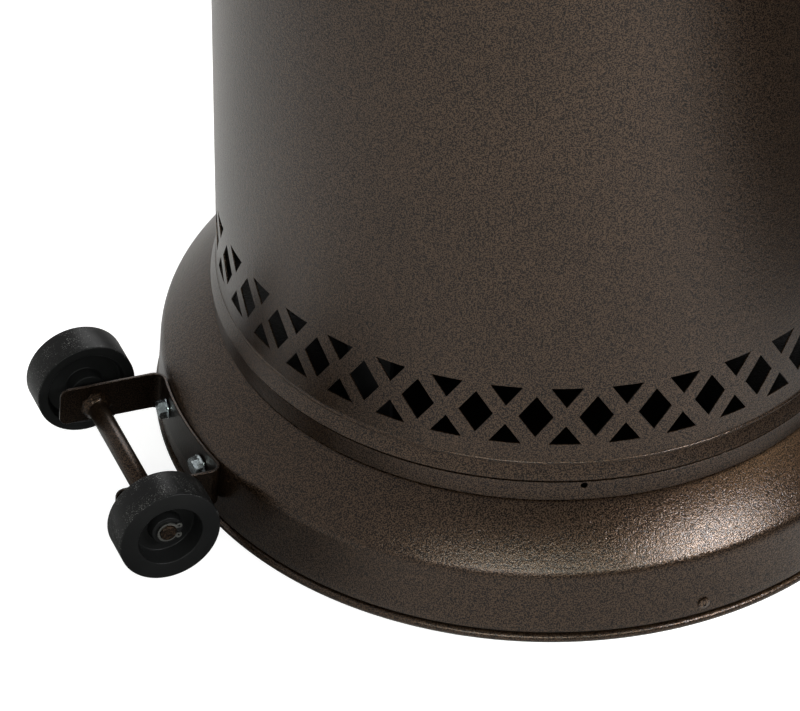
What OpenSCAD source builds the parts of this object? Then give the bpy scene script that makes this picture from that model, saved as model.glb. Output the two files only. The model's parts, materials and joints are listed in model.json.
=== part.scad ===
// Free-standing outdoor gas heater. A round base with a two-wheel set carries three legs and
// a post. A vented tank housing stands on the base and lifts along the post. A control box,
// a burner with its emitter screen and a shallow three-panel reflector sit on the post.
// Millimetres, +Z up, origin on the floor at the base's centre.
// The wheels lie towards -X and the control knob faces -Y.

/* [Base] */
// Outer radius of the rolled rim on the floor
rim_r = 230.3; // [229.8:0.1:232]
// Radius of the base wall just under its shoulder
wall_r = 226.2; // [225:0.1:226.5]
// Height of the base wall's top, where the shoulder starts
wall_top_z = 42; // [40:0.5:44]
// Radius of the shoulder between the wall and the dome
shoulder_r = 12; // [10:0.5:14]
// Sheet thickness of the base
base_t = 1.2; // [1:0.1:1.5]

/* [Wheel set] */
// Wheel radius
wheel_r = 30.3; // [28:0.1:31]
// Height of the axle over the floor
axle_z = 33.1; // [32.5:0.1:34]
// Distance of the axle from the heater's axis
axle_x = 265.6; // [264:0.1:268]
// Half the width of the wheel bracket over its arms
bracket_half = 49; // [47:0.1:50]
// Axle radius between the wheels
axle_r = 6; // [5.8:0.1:6.2]

/* [Tank housing] */
// Radius of the cylinder
housing_r = 191.7; // [191:0.1:192.4]
// Height of the cylinder's top over the floor
housing_top_z = 648; // [640:1:660]
// Number of vent columns around the cylinder
vent_count = 36; // [30:1:36]
// Half the width of a diamond vent
diamond_half_w = 9.8; // [8:0.1:10]
// Half the width of a triangular vent
triangle_half_w = 9.2; // [8:0.1:9.4]

/* [Post] */
// Post radius
post_r = 28.5; // [28:0.1:28.6]
// Height of the post's lower end
post_bottom_z = 578; // [572:1:582]
// Height of the post's upper end
post_top_z = 1652; // [1650:1:1656]

/* [Head] */
// Radius of the control box
box_r = 62; // [60:0.5:64]
// Height of the burner pan's underside
pan_z = 1800; // [1800:1:1804]
// Radius of the emitter screen at its foot
screen_foot_r = 98; // [94:1:100]
// Radius of the emitter screen at its top
screen_top_r = 112; // [106:1:114]
// Height of the emitter screen's top
screen_top_z = 2050; // [2040:1:2052]

/* [Reflector] */
// Outer radius of the reflector
reflector_r = 406.5; // [400:0.5:408]
// Height of the reflector's lower edge
reflector_edge_z = 2092; // [2090:1:2094]

/* [Hidden] */
$fn = 72;

// Colours
BRONZE = [0.23, 0.18, 0.15];
BLACK = [0.15, 0.15, 0.16];
ZINC = [0.75, 0.78, 0.80];
STEEL = [0.62, 0.62, 0.61];
ALUMINIUM = [0.80, 0.80, 0.79];
BRASS = [0.72, 0.58, 0.28];
RUBBER = [0.08, 0.08, 0.08];
RED = [0.65, 0.12, 0.08];
GREY = [0.45, 0.46, 0.47];

// Base
rim_bead_r = 2.8;
pan_lip_r = wall_r - 0.3;
pan_lip_h = 20;
wall_draft = 4;
wall_foot_z = 7.5;
wall_foot_r = wall_r + (wall_top_z - wall_foot_z) * tan(wall_draft);
dome_r = 152;
dome_start = 42;
dome_end = 56;
deck_round_r = 12;
shoulder_c = [wall_r, wall_top_z] - shoulder_r * [cos(wall_draft), sin(wall_draft)];
dome_c = shoulder_c + (shoulder_r - dome_r) * [cos(dome_start), sin(dome_start)];
deck_c = dome_c + (dome_r - deck_round_r) * [cos(dome_end), sin(dome_end)];
deck_z = deck_c[1] + deck_round_r;
base_screw_z = 14;
base_screw_r = 1.9;
wall_at_screw_r = wall_r + (wall_top_z - base_screw_z) * tan(wall_draft);

// Legs and their bolts
leg_angles = [90, 210, 330];
leg_t = 3;
leg_w = 30;
leg_inner_r = 165;
leg_foot_r = 185;
leg_bend_z = 505;
leg_slope = 32;
leg_tab_r = post_r + 0.1;
leg_top_z = 655;
tight_bend = 8;
outer_bend = tight_bend + leg_t;
leg_slope_start = [leg_inner_r - tight_bend, leg_bend_z]
    + tight_bend * [sin(leg_slope), cos(leg_slope)];
leg_slope_end_r = leg_tab_r + outer_bend * (1 - sin(leg_slope));
leg_tab_z = leg_slope_start[1] + (leg_slope_start[0] - leg_slope_end_r) * tan(leg_slope)
    + outer_bend * cos(leg_slope);
foot_bolt_r = 178;
m6_r = 3;
m6_af = 10;
m6_head_h = 4;
bolt_clear = 0.1;
tab_bolt_z = [620, 642];
post_t = 1.5;

// Wheel set
bracket_t = 1.8;
bracket_h = 25.2;
bracket_z = 32.8;
bracket_shift = -3;
bracket_x = wall_r + (wall_top_z - bracket_z) * tan(wall_draft) + 0.15;
bracket_len = 60.7;
bracket_bend = 7;
bracket_bolt_y = [-28.6, 26];
journal_r = axle_r - 1;
wheel_in = 60;
wheel_out = 82.3;
wheel_play = 0.3;
hub_in = 57.6;
hub_out = 77;
recess_r = 19.4;
recess_floor = 71;
axle_end = 79.6;
circlip_y = hub_out + wheel_play;
circlip_t = 1.1;

// Tank housing
band_bottom_z = 75.9;
skirt_z = 91;
skirt_r = housing_r + 3.7;
bead_z = 101;
housing_t = 1;
vent_phase = 4.24;
vent_z = 75.7;
cover_skirt_r = housing_r + 1.5;
cover_skirt_h = 11;
collar_r = 36;
collar_z = 690;
cover_screw_z = housing_top_z - 5;
lift_clear = 0.4;

// Control box and valve
box_z = 1690;
box_t = 1.2;
cone_foot_z = 1640;
head_screw_z = 1647;
shelf_z = 1722.3;
shelf_t = 1.5;
valve_x = -8;
valve_z = 1742;
valve_w = 32;
valve_h = valve_z * 2 - 2 * (shelf_z + shelf_t);
valve_front_y = -36;
valve_back_y = 8;
valve_nose_y = -61;
stem_r = 4;
stem_clear = 0.05;
stem_back_y = -40.2;
stem_front_y = -92;
plunger_back_y = -34;
panel_y = -70;
panel_w = 86;
panel_h = 66;
panel_t = 2;
knob_back_y = -76;
knob_front_y = -98;
knob_r = 21;
igniter_x = 27;
igniter_r = 8.5;
igniter_bore_r = 6.8;
button_r = 6.5;
pilot_y = -74;
pilot_z = pan_z + 20;

// Burner and emitter
sheet_t = 1.2;
venturi_r = 15;
burner_r = 55;
burner_z = 1812;
burner_top_z = 1848;
burner_slots = 24;
stud_r = 3;
stud_ring_r = 60;
stud_top_z = 2210;

// Reflector: a cap cut from a large ring so that the slope eases towards the middle
dish_r = 1420;
dish_start = 68;
lip_r = 2.4;
dish_c = [reflector_r - lip_r, reflector_edge_z + 4] - dish_r * [cos(dish_start), sin(dish_start)];
panel_inner_r = 70;
cap_r = 90;
cap_bolt_r = 81;
rib_inner_r = 95;
rib_outer_r = 396;
rib_h = 10;
rib_t = 1;
seam_half = 0.4;
panel_gap = 0.05;
seam_bolt_r = [190, 340];

// Gas line
hose_r = 4.5;
hose_bore_r = 3.2;
hose_bottom_z = 552;
hose_top_z = 1700;
regulator_z = 516;
regulator_r = 28;
nut_bottom_z = 450;
nut_top_z = 484;

// Geometry helpers
function polar(r, a) = r * [cos(a), sin(a)];
function arc(c, r, a0, a1, n = 8) = [for (i = [0:n]) c + polar(r, a0 + (a1 - a0) * i / n)];
function unit(v) = v / norm(v);
function left_of(v) = [-v[1], v[0]];
function edge_left(p, i) = left_of(unit(p[i + 1] - p[i]));
function mitre(a, b) = (a + b) / (1 + a * b);
function inset(p, t) = [for (i = [0:len(p) - 1])
    p[i] + t * mitre(edge_left(p, max(i - 1, 0)), edge_left(p, min(i, len(p) - 2)))];
function reversed(p) = [for (i = [len(p) - 1:-1:0]) p[i]];
function strip(p, t) = concat(p, reversed(inset(p, t)));
function dish_angle(r) = acos((r - dish_c[0]) / dish_r);
function dish_z(r) = dish_c[1] + dish_r * sin(dish_angle(r));

module revolve(path, t) {
    rotate_extrude() polygon(strip(path, t));
}

module tube(r, bore, h) {
    difference() {
        cylinder(h = h, r = r);
        translate([0, 0, -1]) cylinder(h = h + 2, r = bore);
    }
}

// Turns +Z into the outward direction at an angle around the heater, at a radius and height
module radial(angle, r, z) {
    rotate([0, 0, angle]) translate([r, 0, z]) rotate([0, 90, 0]) children();
}

module hex_bolt(r, af, head_h, length, flange_r = 0) {
    cylinder(h = head_h, r = af / 2 / cos(30), $fn = 6);
    if (flange_r > 0) cylinder(h = 1.4, r = flange_r);
    translate([0, 0, -length]) cylinder(h = length + 0.5, r = r);
}

module hex_nut(r, af, h) {
    difference() {
        cylinder(h = h, r = af / 2 / cos(30), $fn = 6);
        translate([0, 0, -1]) cylinder(h = h + 2, r = r + 0.03);
    }
}

module pan_screw(r, head_r, head_h, length) {
    difference() {
        union() {
            cylinder(h = head_h * 0.5, r = head_r);
            translate([0, 0, head_h * 0.5]) cylinder(h = head_h * 0.5, r1 = head_r, r2 = head_r * 0.7);
        }
        for (a = [0, 90]) rotate([0, 0, a])
            translate([-head_r * 0.55, -head_r * 0.12, head_h * 0.45])
                cube([head_r * 1.1, head_r * 0.24, head_h]);
    }
    translate([0, 0, -length]) cylinder(h = length + head_h * 0.2, r = r);
}

module rounded_plate(w, h, t, r) {
    linear_extrude(t) union() {
        translate([-w / 2 + r, -h / 2]) square([w - 2 * r, h]);
        translate([-w / 2, -h / 2 + r]) square([w, h - 2 * r]);
        for (x = [-1, 1], y = [-1, 1]) translate([x * (w / 2 - r), y * (h / 2 - r)]) circle(r);
    }
}

// A wire or thin pipe along a smooth curve through a short list of points
function spline(p, i, t) = let (
    a = p[max(i - 1, 0)], b = p[i], c = p[i + 1], d = p[min(i + 2, len(p) - 1)]
) 0.5 * (2 * b + (c - a) * t + (2 * a - 5 * b + 4 * c - d) * t * t
    + (3 * b - a - 3 * c + d) * t * t * t);
function smooth(p, n) = concat(
    [for (i = [0:len(p) - 2], k = [0:n - 1]) spline(p, i, k / n)], [p[len(p) - 1]]);
function heading(p, i) = unit(p[min(i + 1, len(p) - 1)] - p[max(i - 1, 0)]);
function carried(v, t) = unit(v - (v * t) * t);
function frames(p, i = 0, v = [1, 0.2, 0.3]) = i >= len(p) ? [] :
    let (u = carried(v, heading(p, i))) concat([u], frames(p, i + 1, u));

module wire(points, r) {
    sides = 8;
    p = smooth(points, 4);
    u = frames(p);
    rings = [for (i = [0:len(p) - 1], k = [0:sides - 1])
        p[i] + r * (cos(360 * k / sides) * u[i] + sin(360 * k / sides) * cross(heading(p, i), u[i]))];
    last = (len(p) - 1) * sides;
    walls = [for (i = [0:len(p) - 2], k = [0:sides - 1]) let (n = (k + 1) % sides, a = i * sides)
        [a + k, a + sides + k, a + sides + n, a + n]];
    polyhedron(points = rings, faces = concat(walls,
        [[for (k = [0:sides - 1]) k]], [[for (k = [sides - 1:-1:0]) last + k]]));
}

// Base
module base_screw_places() {
    for (a = [-90, 30, 150]) radial(a, wall_at_screw_r + 0.02, base_screw_z)
        rotate([0, -wall_draft, 0]) children();
}

module bracket_bolt_places() {
    for (y = bracket_bolt_y)
        radial(180 - asin(y / bracket_x), bracket_x + bracket_t + 0.05, bracket_z)
            rotate([0, -wall_draft, 0]) children();
}

module foot_bolt_places(z) {
    for (a = leg_angles) rotate([0, 0, a]) translate([foot_bolt_r, 0, z]) children();
}

module base_pan() {
    color(BRONZE) difference() {
        union() {
            cylinder(h = base_t, r = rim_r - rim_bead_r - 1.5);
            rotate_extrude() translate([rim_r - rim_bead_r, rim_bead_r]) circle(rim_bead_r, $fn = 32);
            tube(pan_lip_r, pan_lip_r - base_t, pan_lip_h);
        }
        base_screw_places() translate([0, 0, -8]) cylinder(h = 12, r = base_screw_r + bolt_clear);
    }
}

module base_shell() {
    path = concat(
        [[wall_foot_r, wall_foot_z]],
        arc(shoulder_c, shoulder_r, wall_draft, dome_start),
        arc(dome_c, dome_r, dome_start + 2, dome_end, 6),
        arc(deck_c, deck_round_r, dome_end + 6, 90, 4),
        [[0, deck_z]]
    );
    color(BRONZE) difference() {
        revolve(path, base_t);
        base_screw_places() translate([0, 0, -8]) cylinder(h = 12, r = base_screw_r + bolt_clear);
        bracket_bolt_places() translate([0, 0, -12]) cylinder(h = 16, r = m6_r + bolt_clear);
        foot_bolt_places(deck_z - 6) cylinder(h = 12, r = m6_r + bolt_clear);
    }
}

module base_screws() {
    color(BRONZE) base_screw_places() pan_screw(base_screw_r, 3.7, 1.8, 6);
}

// Legs and post
module support_leg(angle) {
    path = concat(
        [[leg_foot_r, deck_z]],
        arc([leg_inner_r + 6, deck_z + 6], 6, 270, 180, 5),
        arc([leg_inner_r - tight_bend, leg_bend_z], tight_bend, 0, 90 - leg_slope, 5),
        arc([leg_tab_r + outer_bend, leg_tab_z], outer_bend, 270 - leg_slope, 180, 5),
        [[leg_tab_r, leg_top_z]]
    );
    color(BLACK) rotate([0, 0, angle]) difference() {
        rotate([90, 0, 0]) translate([0, 0, -leg_w / 2])
            linear_extrude(leg_w) polygon(strip(path, -leg_t));
        translate([foot_bolt_r, 0, deck_z - 2]) cylinder(h = 8, r = m6_r + bolt_clear);
        for (z = tab_bolt_z) translate([post_r - 2, 0, z]) rotate([0, 90, 0])
            cylinder(h = 8, r = m6_r + bolt_clear);
    }
}

module support_leg_1() { support_leg(leg_angles[0]); }

module support_leg_2() { support_leg(leg_angles[1]); }

module support_leg_3() { support_leg(leg_angles[2]); }

module foot_bolts() {
    color(ZINC) foot_bolt_places(deck_z + leg_t) hex_bolt(m6_r, m6_af, m6_head_h, 14, 6.9);
}

module leg_nuts() {
    color(ZINC) {
        foot_bolt_places(deck_z - base_t - 5.1) hex_nut(m6_r, m6_af, 5);
        post_bolt_places(post_r - post_t - 5.7) hex_nut(m6_r, m6_af, 5);
    }
}

module post_bolt_places(r) {
    for (a = leg_angles, z = tab_bolt_z) radial(a, r, z) children();
}

module post_bolts() {
    color(ZINC) post_bolt_places(leg_tab_r + leg_t) hex_bolt(m6_r, m6_af, m6_head_h, 11);
}

module post() {
    color(BRONZE) difference() {
        translate([0, 0, post_bottom_z]) tube(post_r, post_r - post_t, post_top_z - post_bottom_z);
        post_bolt_places(post_r - 4) cylinder(h = 8, r = m6_r + bolt_clear);
        for (a = [30, 150, 270]) radial(a, post_r - 4, head_screw_z) cylinder(h = 8, r = 2.1);
    }
}

// Wheel set
// Plan view of the bracket's back face: arm, bend, a web that hugs the round wall, bend, arm
function bend_angle(reach) = asin((reach - bracket_bend) / (bracket_x + bracket_bend));
function bend_centre(reach) = [bracket_x, 0]
    + (bracket_x + bracket_bend) * [-cos(bend_angle(reach)), sin(bend_angle(reach))];
function bend(reach) = arc(bend_centre(reach), bracket_bend, 90, -bend_angle(reach), 7);
function web(from, to) = arc([bracket_x, 0], bracket_x, 180 - from, 180 + to, 12);

module wheel_bracket() {
    far_reach = bracket_half + bracket_shift;
    near_reach = bracket_half - bracket_shift;
    back = concat(
        [[-bracket_len, far_reach]],
        bend(far_reach),
        web(bend_angle(far_reach) * 0.85, bend_angle(near_reach) * 0.85),
        reversed([for (p = bend(near_reach)) [p[0], -p[1]]]),
        [[-bracket_len, -near_reach]]
    );
    corner_r = 5;
    width = 2 * bracket_half + 12;
    color(BRONZE) difference() {
        translate([-bracket_x, 0, bracket_z]) rotate([0, wall_draft, 0]) intersection() {
            translate([0, 0, -bracket_h / 2]) linear_extrude(bracket_h)
                polygon(strip(back, -bracket_t));
            // Rounded free corners of the arms
            rotate([90, 0, 0]) linear_extrude(width, center = true) union() {
                translate([-bracket_len, corner_r - bracket_h / 2])
                    square([bracket_len + 20, bracket_h - 2 * corner_r]);
                translate([corner_r - bracket_len, -bracket_h / 2]) square([bracket_len + 20, bracket_h]);
                for (z = [-1, 1]) translate([corner_r - bracket_len, z * (bracket_h / 2 - corner_r)])
                    circle(corner_r);
            }
        }
        bracket_bolt_places() translate([0, 0, -6]) cylinder(h = 12, r = m6_r + bolt_clear);
        translate([-axle_x, 0, axle_z]) rotate([90, 0, 0])
            cylinder(h = width, r = axle_r + bolt_clear, center = true);
    }
}

// The axle's ends are turned down for the wheels, and weld beads hold it to both arms
module wheel_axle() {
    shoulder_y = hub_in - wheel_play;
    color(BRONZE) translate([-axle_x, 0, axle_z]) difference() {
        union() {
            rotate([90, 0, 0]) cylinder(h = 2 * shoulder_y, r = axle_r, center = true);
            rotate([90, 0, 0]) cylinder(h = 2 * axle_end, r = journal_r, center = true);
            for (s = [-1, 1]) translate([0, bracket_shift + s * (bracket_half - bracket_t - 0.05), 0])
                rotate([s * 90, 0, 0]) cylinder(h = 4.5, r1 = axle_r + 3.2, r2 = axle_r + 0.4);
        }
        for (s = [-1, 1]) rotate([s * 90, 0, 0]) translate([0, 0, circlip_y - 0.1])
            tube(journal_r + 1, journal_r - 0.5, circlip_t + 0.2);
    }
}

module bracket_bolts() {
    color(ZINC) bracket_bolt_places() hex_bolt(m6_r, m6_af, 6.2, 12, 6.2);
}

module bracket_nuts() {
    nut_depth = bracket_t + base_t + 5.6;
    color(ZINC) bracket_bolt_places() translate([0, 0, -nut_depth]) hex_nut(m6_r, m6_af, 5);
}

module wheel(side) {
    edge = 1.6;
    bore = journal_r + 0.08;
    boss_r = 11;
    tread_in_r = 24.2;
    profile = concat(
        [[bore, hub_in], [boss_r - 0.6, hub_in], [boss_r, hub_in + 0.6], [boss_r, wheel_in + 6.5]],
        [[tread_in_r - 1.7, wheel_in + 6.5], [tread_in_r - 0.7, wheel_in + 0.7], [tread_in_r, wheel_in]],
        arc([wheel_r - edge, wheel_in + edge], edge, -90, 0, 5),
        arc([wheel_r - edge, wheel_out - edge], edge, 0, 90, 5),
        [[recess_r + 0.8, wheel_out], [recess_r, wheel_out - 0.8], [recess_r - 1.2, recess_floor]],
        [[9.8, recess_floor], [9.6, hub_out - 0.5], [9.1, hub_out], [bore, hub_out]]
    );
    color(BLACK) translate([-axle_x, 0, axle_z]) rotate([-side * 90, 0, 0])
        rotate_extrude() polygon(profile);
}

module wheel_left() { wheel(1); }

module wheel_right() { wheel(-1); }

module axle_circlips() {
    ring_r = journal_r + 1.4;
    lug_r = journal_r + 2.3;
    color(ZINC) translate([-axle_x, 0, axle_z]) for (s = [-1, 1])
        rotate([s * 90, 0, 0]) translate([0, 0, circlip_y]) rotate([0, 0, -4]) difference() {
            union() {
                tube(ring_r, journal_r - 0.4, circlip_t);
                for (a = [-27, 27]) rotate([0, 0, a]) translate([lug_r, 0, 0])
                    cylinder(h = circlip_t, r = 1.9);
            }
            translate([0, -2, -1]) cube([14, 4, circlip_t + 2]);
            for (a = [-27, 27]) rotate([0, 0, a]) translate([lug_r, 0, -1])
                cylinder(h = circlip_t + 2, r = 0.7);
            translate([0, 0, -1]) cylinder(h = circlip_t + 2, r = journal_r - 0.4);
        }
}

// Tank housing
module vents() {
    diamond = [[0, vent_z + 43.4], [diamond_half_w, vent_z + 57.8], [0, vent_z + 72.3],
        [-diamond_half_w, vent_z + 57.8]];
    upper = [[0, vent_z + 64.3], [triangle_half_w, vent_z + 78.1], [-triangle_half_w, vent_z + 78.1]];
    lower = [[-triangle_half_w, vent_z + 38.3], [triangle_half_w, vent_z + 38.3],
        [0, vent_z + 51.6]];
    pitch = 360 / vent_count;
    for (i = [0:vent_count - 1]) {
        rotate([0, 0, vent_phase + pitch * i - 90]) vent(diamond);
        rotate([0, 0, vent_phase + pitch * (i + 0.5) - 90]) {
            vent(upper);
            vent(lower);
        }
    }
}

module vent(outline) {
    translate([housing_r - 6, 0, 0]) rotate([90, 0, 90]) linear_extrude(10) polygon(outline);
}

module tank_housing() {
    path = concat(
        [[skirt_r, skirt_z], [skirt_r - 0.9, skirt_z + 3]],
        arc([housing_r, bead_z], 0.9, -60, 60, 4),
        [[housing_r, bead_z + 2.2], [housing_r, housing_top_z]]
    );
    color(BRONZE) difference() {
        revolve(path, housing_t);
        vents();
        cover_screw_places(housing_r) translate([0, 0, -6]) cylinder(h = 10, r = 2.1);
    }
}

module housing_band() {
    band_r = skirt_r - 1.4;
    inner_r = housing_r - housing_t - 0.15;
    path = [[band_r, band_bottom_z], [band_r, skirt_z - 1.2], [inner_r, skirt_z + 3.6],
        [inner_r, bead_z + 7]];
    color(BRONZE) difference() {
        revolve(path, housing_t);
        for (a = [-107.3, 12.7, 132.7]) radial(a, band_r - 6, band_bottom_z + 10)
            cylinder(h = 12, r = 2);
    }
}

module cover_screw_places(r) {
    for (a = [45:90:315]) radial(a, r, cover_screw_z) children();
}

module housing_cover() {
    skirt_top = housing_top_z + 1;
    path = concat(
        [[cover_skirt_r, skirt_top - cover_skirt_h]],
        arc([cover_skirt_r - 3, skirt_top], 3, 0, 82, 5),
        arc([collar_r + 6, collar_z - 16], 6, 262, 180, 5),
        [[collar_r, collar_z]]
    );
    color(BRONZE) difference() {
        revolve(path, housing_t);
        cover_screw_places(housing_r) translate([0, 0, -6]) cylinder(h = 12, r = 2.1);
    }
}

module cover_screws() {
    color(BRONZE) cover_screw_places(cover_skirt_r + 0.05) pan_screw(2, 4, 2, 7);
}

module post_grommet() {
    bore = post_r + lift_clear;
    sleeve_r = collar_r - housing_t - 0.1;
    color(RUBBER) rotate_extrude() polygon([[bore, collar_z - 18], [sleeve_r, collar_z - 18],
        [sleeve_r, collar_z + 0.1], [collar_r + 3, collar_z + 0.1], [collar_r + 3, collar_z + 3],
        [collar_r, collar_z + 5], [bore, collar_z + 5]]);
}

// Control box
module head_cone() {
    path = concat(
        [[post_r + box_t + 0.15, cone_foot_z], [post_r + box_t + 0.15, cone_foot_z + 18]],
        arc([box_r - 8, box_z], 8, -45, 0, 4)
    );
    color(BRONZE) difference() {
        revolve(path, box_t);
        for (a = [30, 150, 270]) radial(a, post_r - 4, head_screw_z) cylinder(h = 10, r = 2.1);
    }
}

module head_screws() {
    color(BRONZE) for (a = [30, 150, 270])
        radial(a, post_r + box_t + 0.2, head_screw_z) pan_screw(2, 4, 2, 6);
}

module shelf_screw_places(r) {
    for (a = [0, 90, 180]) radial(a, r, shelf_z - 4) children();
}

module control_box() {
    path = concat(
        [[box_r, box_z + 0.2]],
        arc([box_r - 4, pan_z - 4.2], 4, 0, 90, 5),
        [[box_r - 22, pan_z - 0.2]]
    );
    color(BRONZE) difference() {
        revolve(path, box_t);
        translate([valve_x, 0, valve_z]) rotate([90, 0, 0]) cylinder(h = 80, r = 10);
        translate([igniter_x, 0, valve_z]) rotate([90, 0, 0]) cylinder(h = 80, r = igniter_r + 0.4);
        shelf_screw_places(box_r - 5) cylinder(h = 10, r = 1.8);
        pan_screw_places(pan_z - 5) cylinder(h = 10, r = 1.8);
        for (x = [-1, 1]) translate([x * 36, 0, valve_z + 26]) rotate([90, 0, 0])
            cylinder(h = 80, r = 1.6);
    }
}

module control_panel() {
    depth = 36;
    color(BRONZE) difference() {
        translate([0, panel_y, valve_z]) rotate([-90, 0, 0]) rounded_plate(panel_w, panel_h, depth, 8);
        translate([0, panel_y + panel_t, valve_z]) rotate([-90, 0, 0])
            rounded_plate(panel_w - 2 * panel_t, panel_h - 2 * panel_t, depth, 6);
        translate([0, 0, valve_z - 60]) cylinder(h = 120, r = box_r + 0.2);
        translate([-60, -40, valve_z - 60]) cube([120, 60, 120]);
        translate([valve_x, panel_y + 6, valve_z]) rotate([90, 0, 0]) cylinder(h = 12, r = 6);
        translate([igniter_x, panel_y + 6, valve_z]) rotate([90, 0, 0])
            cylinder(h = 12, r = igniter_r + 0.1);
        for (x = [-1, 1]) translate([x * 36, panel_y + 6, valve_z + 26]) rotate([90, 0, 0])
            cylinder(h = 12, r = 1.6);
    }
}

module panel_screws() {
    color(ZINC) for (x = [-1, 1]) translate([x * 36, panel_y - 0.05, valve_z + 26])
        rotate([90, 0, 0]) pan_screw(1.5, 3.2, 1.6, 24);
}

module valve_shelf() {
    shelf_r = box_r - box_t - 0.2;
    color(STEEL) difference() {
        union() {
            translate([0, 0, shelf_z]) cylinder(h = shelf_t, r = shelf_r);
            translate([0, 0, shelf_z - 9]) tube(shelf_r, shelf_r - shelf_t, 10);
        }
        translate([0, 0, shelf_z - 1]) cylinder(h = 4, r = 9);
        shelf_screw_places(box_r - 8) cylinder(h = 10, r = 1.8);
    }
}

module box_screws() {
    color(BRONZE) {
        shelf_screw_places(box_r + 0.05) pan_screw(1.7, 3.4, 1.7, 5);
        pan_screw_places(pan_z + sheet_t + 0.05) pan_screw(1.7, 3.4, 1.7, 7);
    }
}

module gas_valve() {
    color(BRASS) difference() {
        union() {
            translate([valve_x - valve_w / 2, valve_front_y, valve_z - valve_h / 2])
                cube([valve_w, valve_back_y - valve_front_y, valve_h]);
            translate([valve_x, valve_front_y + 1, valve_z]) rotate([90, 0, 0])
                cylinder(h = valve_front_y + 1 - valve_nose_y, r = 9);
        }
        translate([valve_x, -29, valve_z]) rotate([90, 0, 0])
            cylinder(h = 40, r = stem_r + stem_clear);
    }
}

module valve_plunger() {
    color(BRASS) translate([valve_x, plunger_back_y, valve_z]) rotate([90, 0, 0])
        cylinder(h = plunger_back_y - stem_back_y - 0.2, r = stem_r - 0.1);
}

module valve_stem() {
    color(ZINC) translate([valve_x, stem_back_y, valve_z]) rotate([90, 0, 0]) difference() {
        cylinder(h = stem_back_y - stem_front_y, r = stem_r);
        translate([-6, stem_r - 1.2, 35.5]) cube([12, 6, 20]);
    }
}

module control_knob() {
    depth = knob_back_y - knob_front_y;
    color(BLACK) translate([valve_x, knob_back_y, valve_z]) rotate([90, 0, 0]) difference() {
        union() {
            rotate_extrude() polygon(concat([[0, 0], [knob_r, 0]],
                arc([knob_r - 2, 7], 2, 0, 90, 4), [[15, 10], [14, depth - 2], [12, depth], [0, depth]]));
            translate([-4, -knob_r + 1, 5]) cube([8, 2 * knob_r - 2, depth - 5.5]);
        }
        translate([0, 0, -1]) difference() {
            cylinder(h = 18, r = stem_r + 0.05);
            translate([-6, stem_r - 1.1, -1]) cube([12, 6, 22]);
        }
    }
}

module igniter_body() {
    color(BLACK) translate([igniter_x, -20, valve_z]) rotate([90, 0, 0]) difference() {
        union() {
            cylinder(h = 51, r = igniter_r);
            translate([0, 0, 50.1]) cylinder(h = 2.4, r = 11);
        }
        translate([0, 0, 34]) cylinder(h = 20, r = igniter_bore_r);
    }
}

module igniter_button() {
    color(RED) translate([igniter_x, -60, valve_z]) rotate([90, 0, 0])
        rotate_extrude() polygon(concat([[0, 0], [button_r, 0]],
            arc([button_r - 1.5, 17.5], 1.5, 0, 90, 4), [[0, 19]]));
}

module ignition_lead() {
    color(RED) wire([[igniter_x, -19.6, valve_z], [igniter_x, -10, valve_z],
        [24, -6, valve_z + 20], [22, -12, pan_z - 24], [14, -26, pan_z - 8], [12, -40, pan_z + 6],
        [10, -62, pan_z + 8], [10, pilot_y + 2, pan_z + 10], [10, pilot_y, pan_z + 12],
        [10, pilot_y, pilot_z - 4.1]], 1.6);
}

module electrode() {
    color([0.9, 0.88, 0.84]) translate([10, pilot_y, pilot_z - 4]) {
        cylinder(h = 22, r = 2.8);
        translate([0, 0, 20]) cylinder(h = 14, r = 0.9);
    }
}

module tilt_switch() {
    color(GREY) translate([16, 18, shelf_z + shelf_t + 0.1]) {
        cube([22, 16, 20]);
        translate([11, 8, 19]) cylinder(h = 7, r = 6);
    }
}

module thermocouple() {
    color(BRASS) {
        wire([[valve_x - 10, valve_back_y + 0.4, valve_z], [valve_x - 10, 16, valve_z],
            [-26, 14, valve_z + 24], [-27, -4, pan_z - 24], [-18, -24, pan_z - 8],
            [-14, -40, pan_z + 6], [-10, -62, pan_z + 8], [-10, pilot_y + 2, pan_z + 10],
            [-10, pilot_y, pan_z + 12], [-10, pilot_y, pilot_z - 3.9]], 1.3);
        translate([-10, pilot_y, pilot_z - 4]) cylinder(h = 30, r = 2.6);
    }
}

module pilot_tube() {
    color(ALUMINIUM) wire([[valve_x + 4, -30, valve_z + valve_h / 2 + 0.1],
        [valve_x + 4, -30, pan_z - 24], [0, -34, pan_z - 6], [0, -39, pan_z + 6],
        [0, -62, pan_z + 8], [0, pilot_y + 3, pan_z + 9], [0, pilot_y, pan_z + 12],
        [0, pilot_y, pilot_z - 0.2]], 2);
}

module pilot_burner() {
    foot_z = pan_z + sheet_t + 0.05 - pilot_z;
    color(STEEL) translate([0, pilot_y, pilot_z]) {
        difference() {
            translate([-15, -7, 0]) cube([30, 14, 2]);
            for (x = [-10, 10]) translate([x, 0, -1]) cylinder(h = 4, r = 3);
        }
        cylinder(h = 16, r = 4.5);
        translate([-3, -3, 15]) cube([6, 10, 3]);
        translate([-6, -7, foot_z]) cube([12, 1.5, -foot_z + 1]);
        translate([-6, -15, foot_z]) cube([12, 9, 1.5]);
    }
}

// Burner, pan and emitter
module burner_jet() {
    jet_z = valve_z + valve_h / 2 + 0.05;
    color(BRASS) translate([0, 0, jet_z]) {
        cylinder(h = 8, r = 8, $fn = 6);
        translate([0, 0, 7]) cylinder(h = 8, r = 3.5);
    }
}

module venturi_tube() {
    path = [[venturi_r + 4, valve_z + 30], [venturi_r, valve_z + 37], [venturi_r, burner_z + 8]];
    color(STEEL) revolve(path, sheet_t);
}

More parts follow.
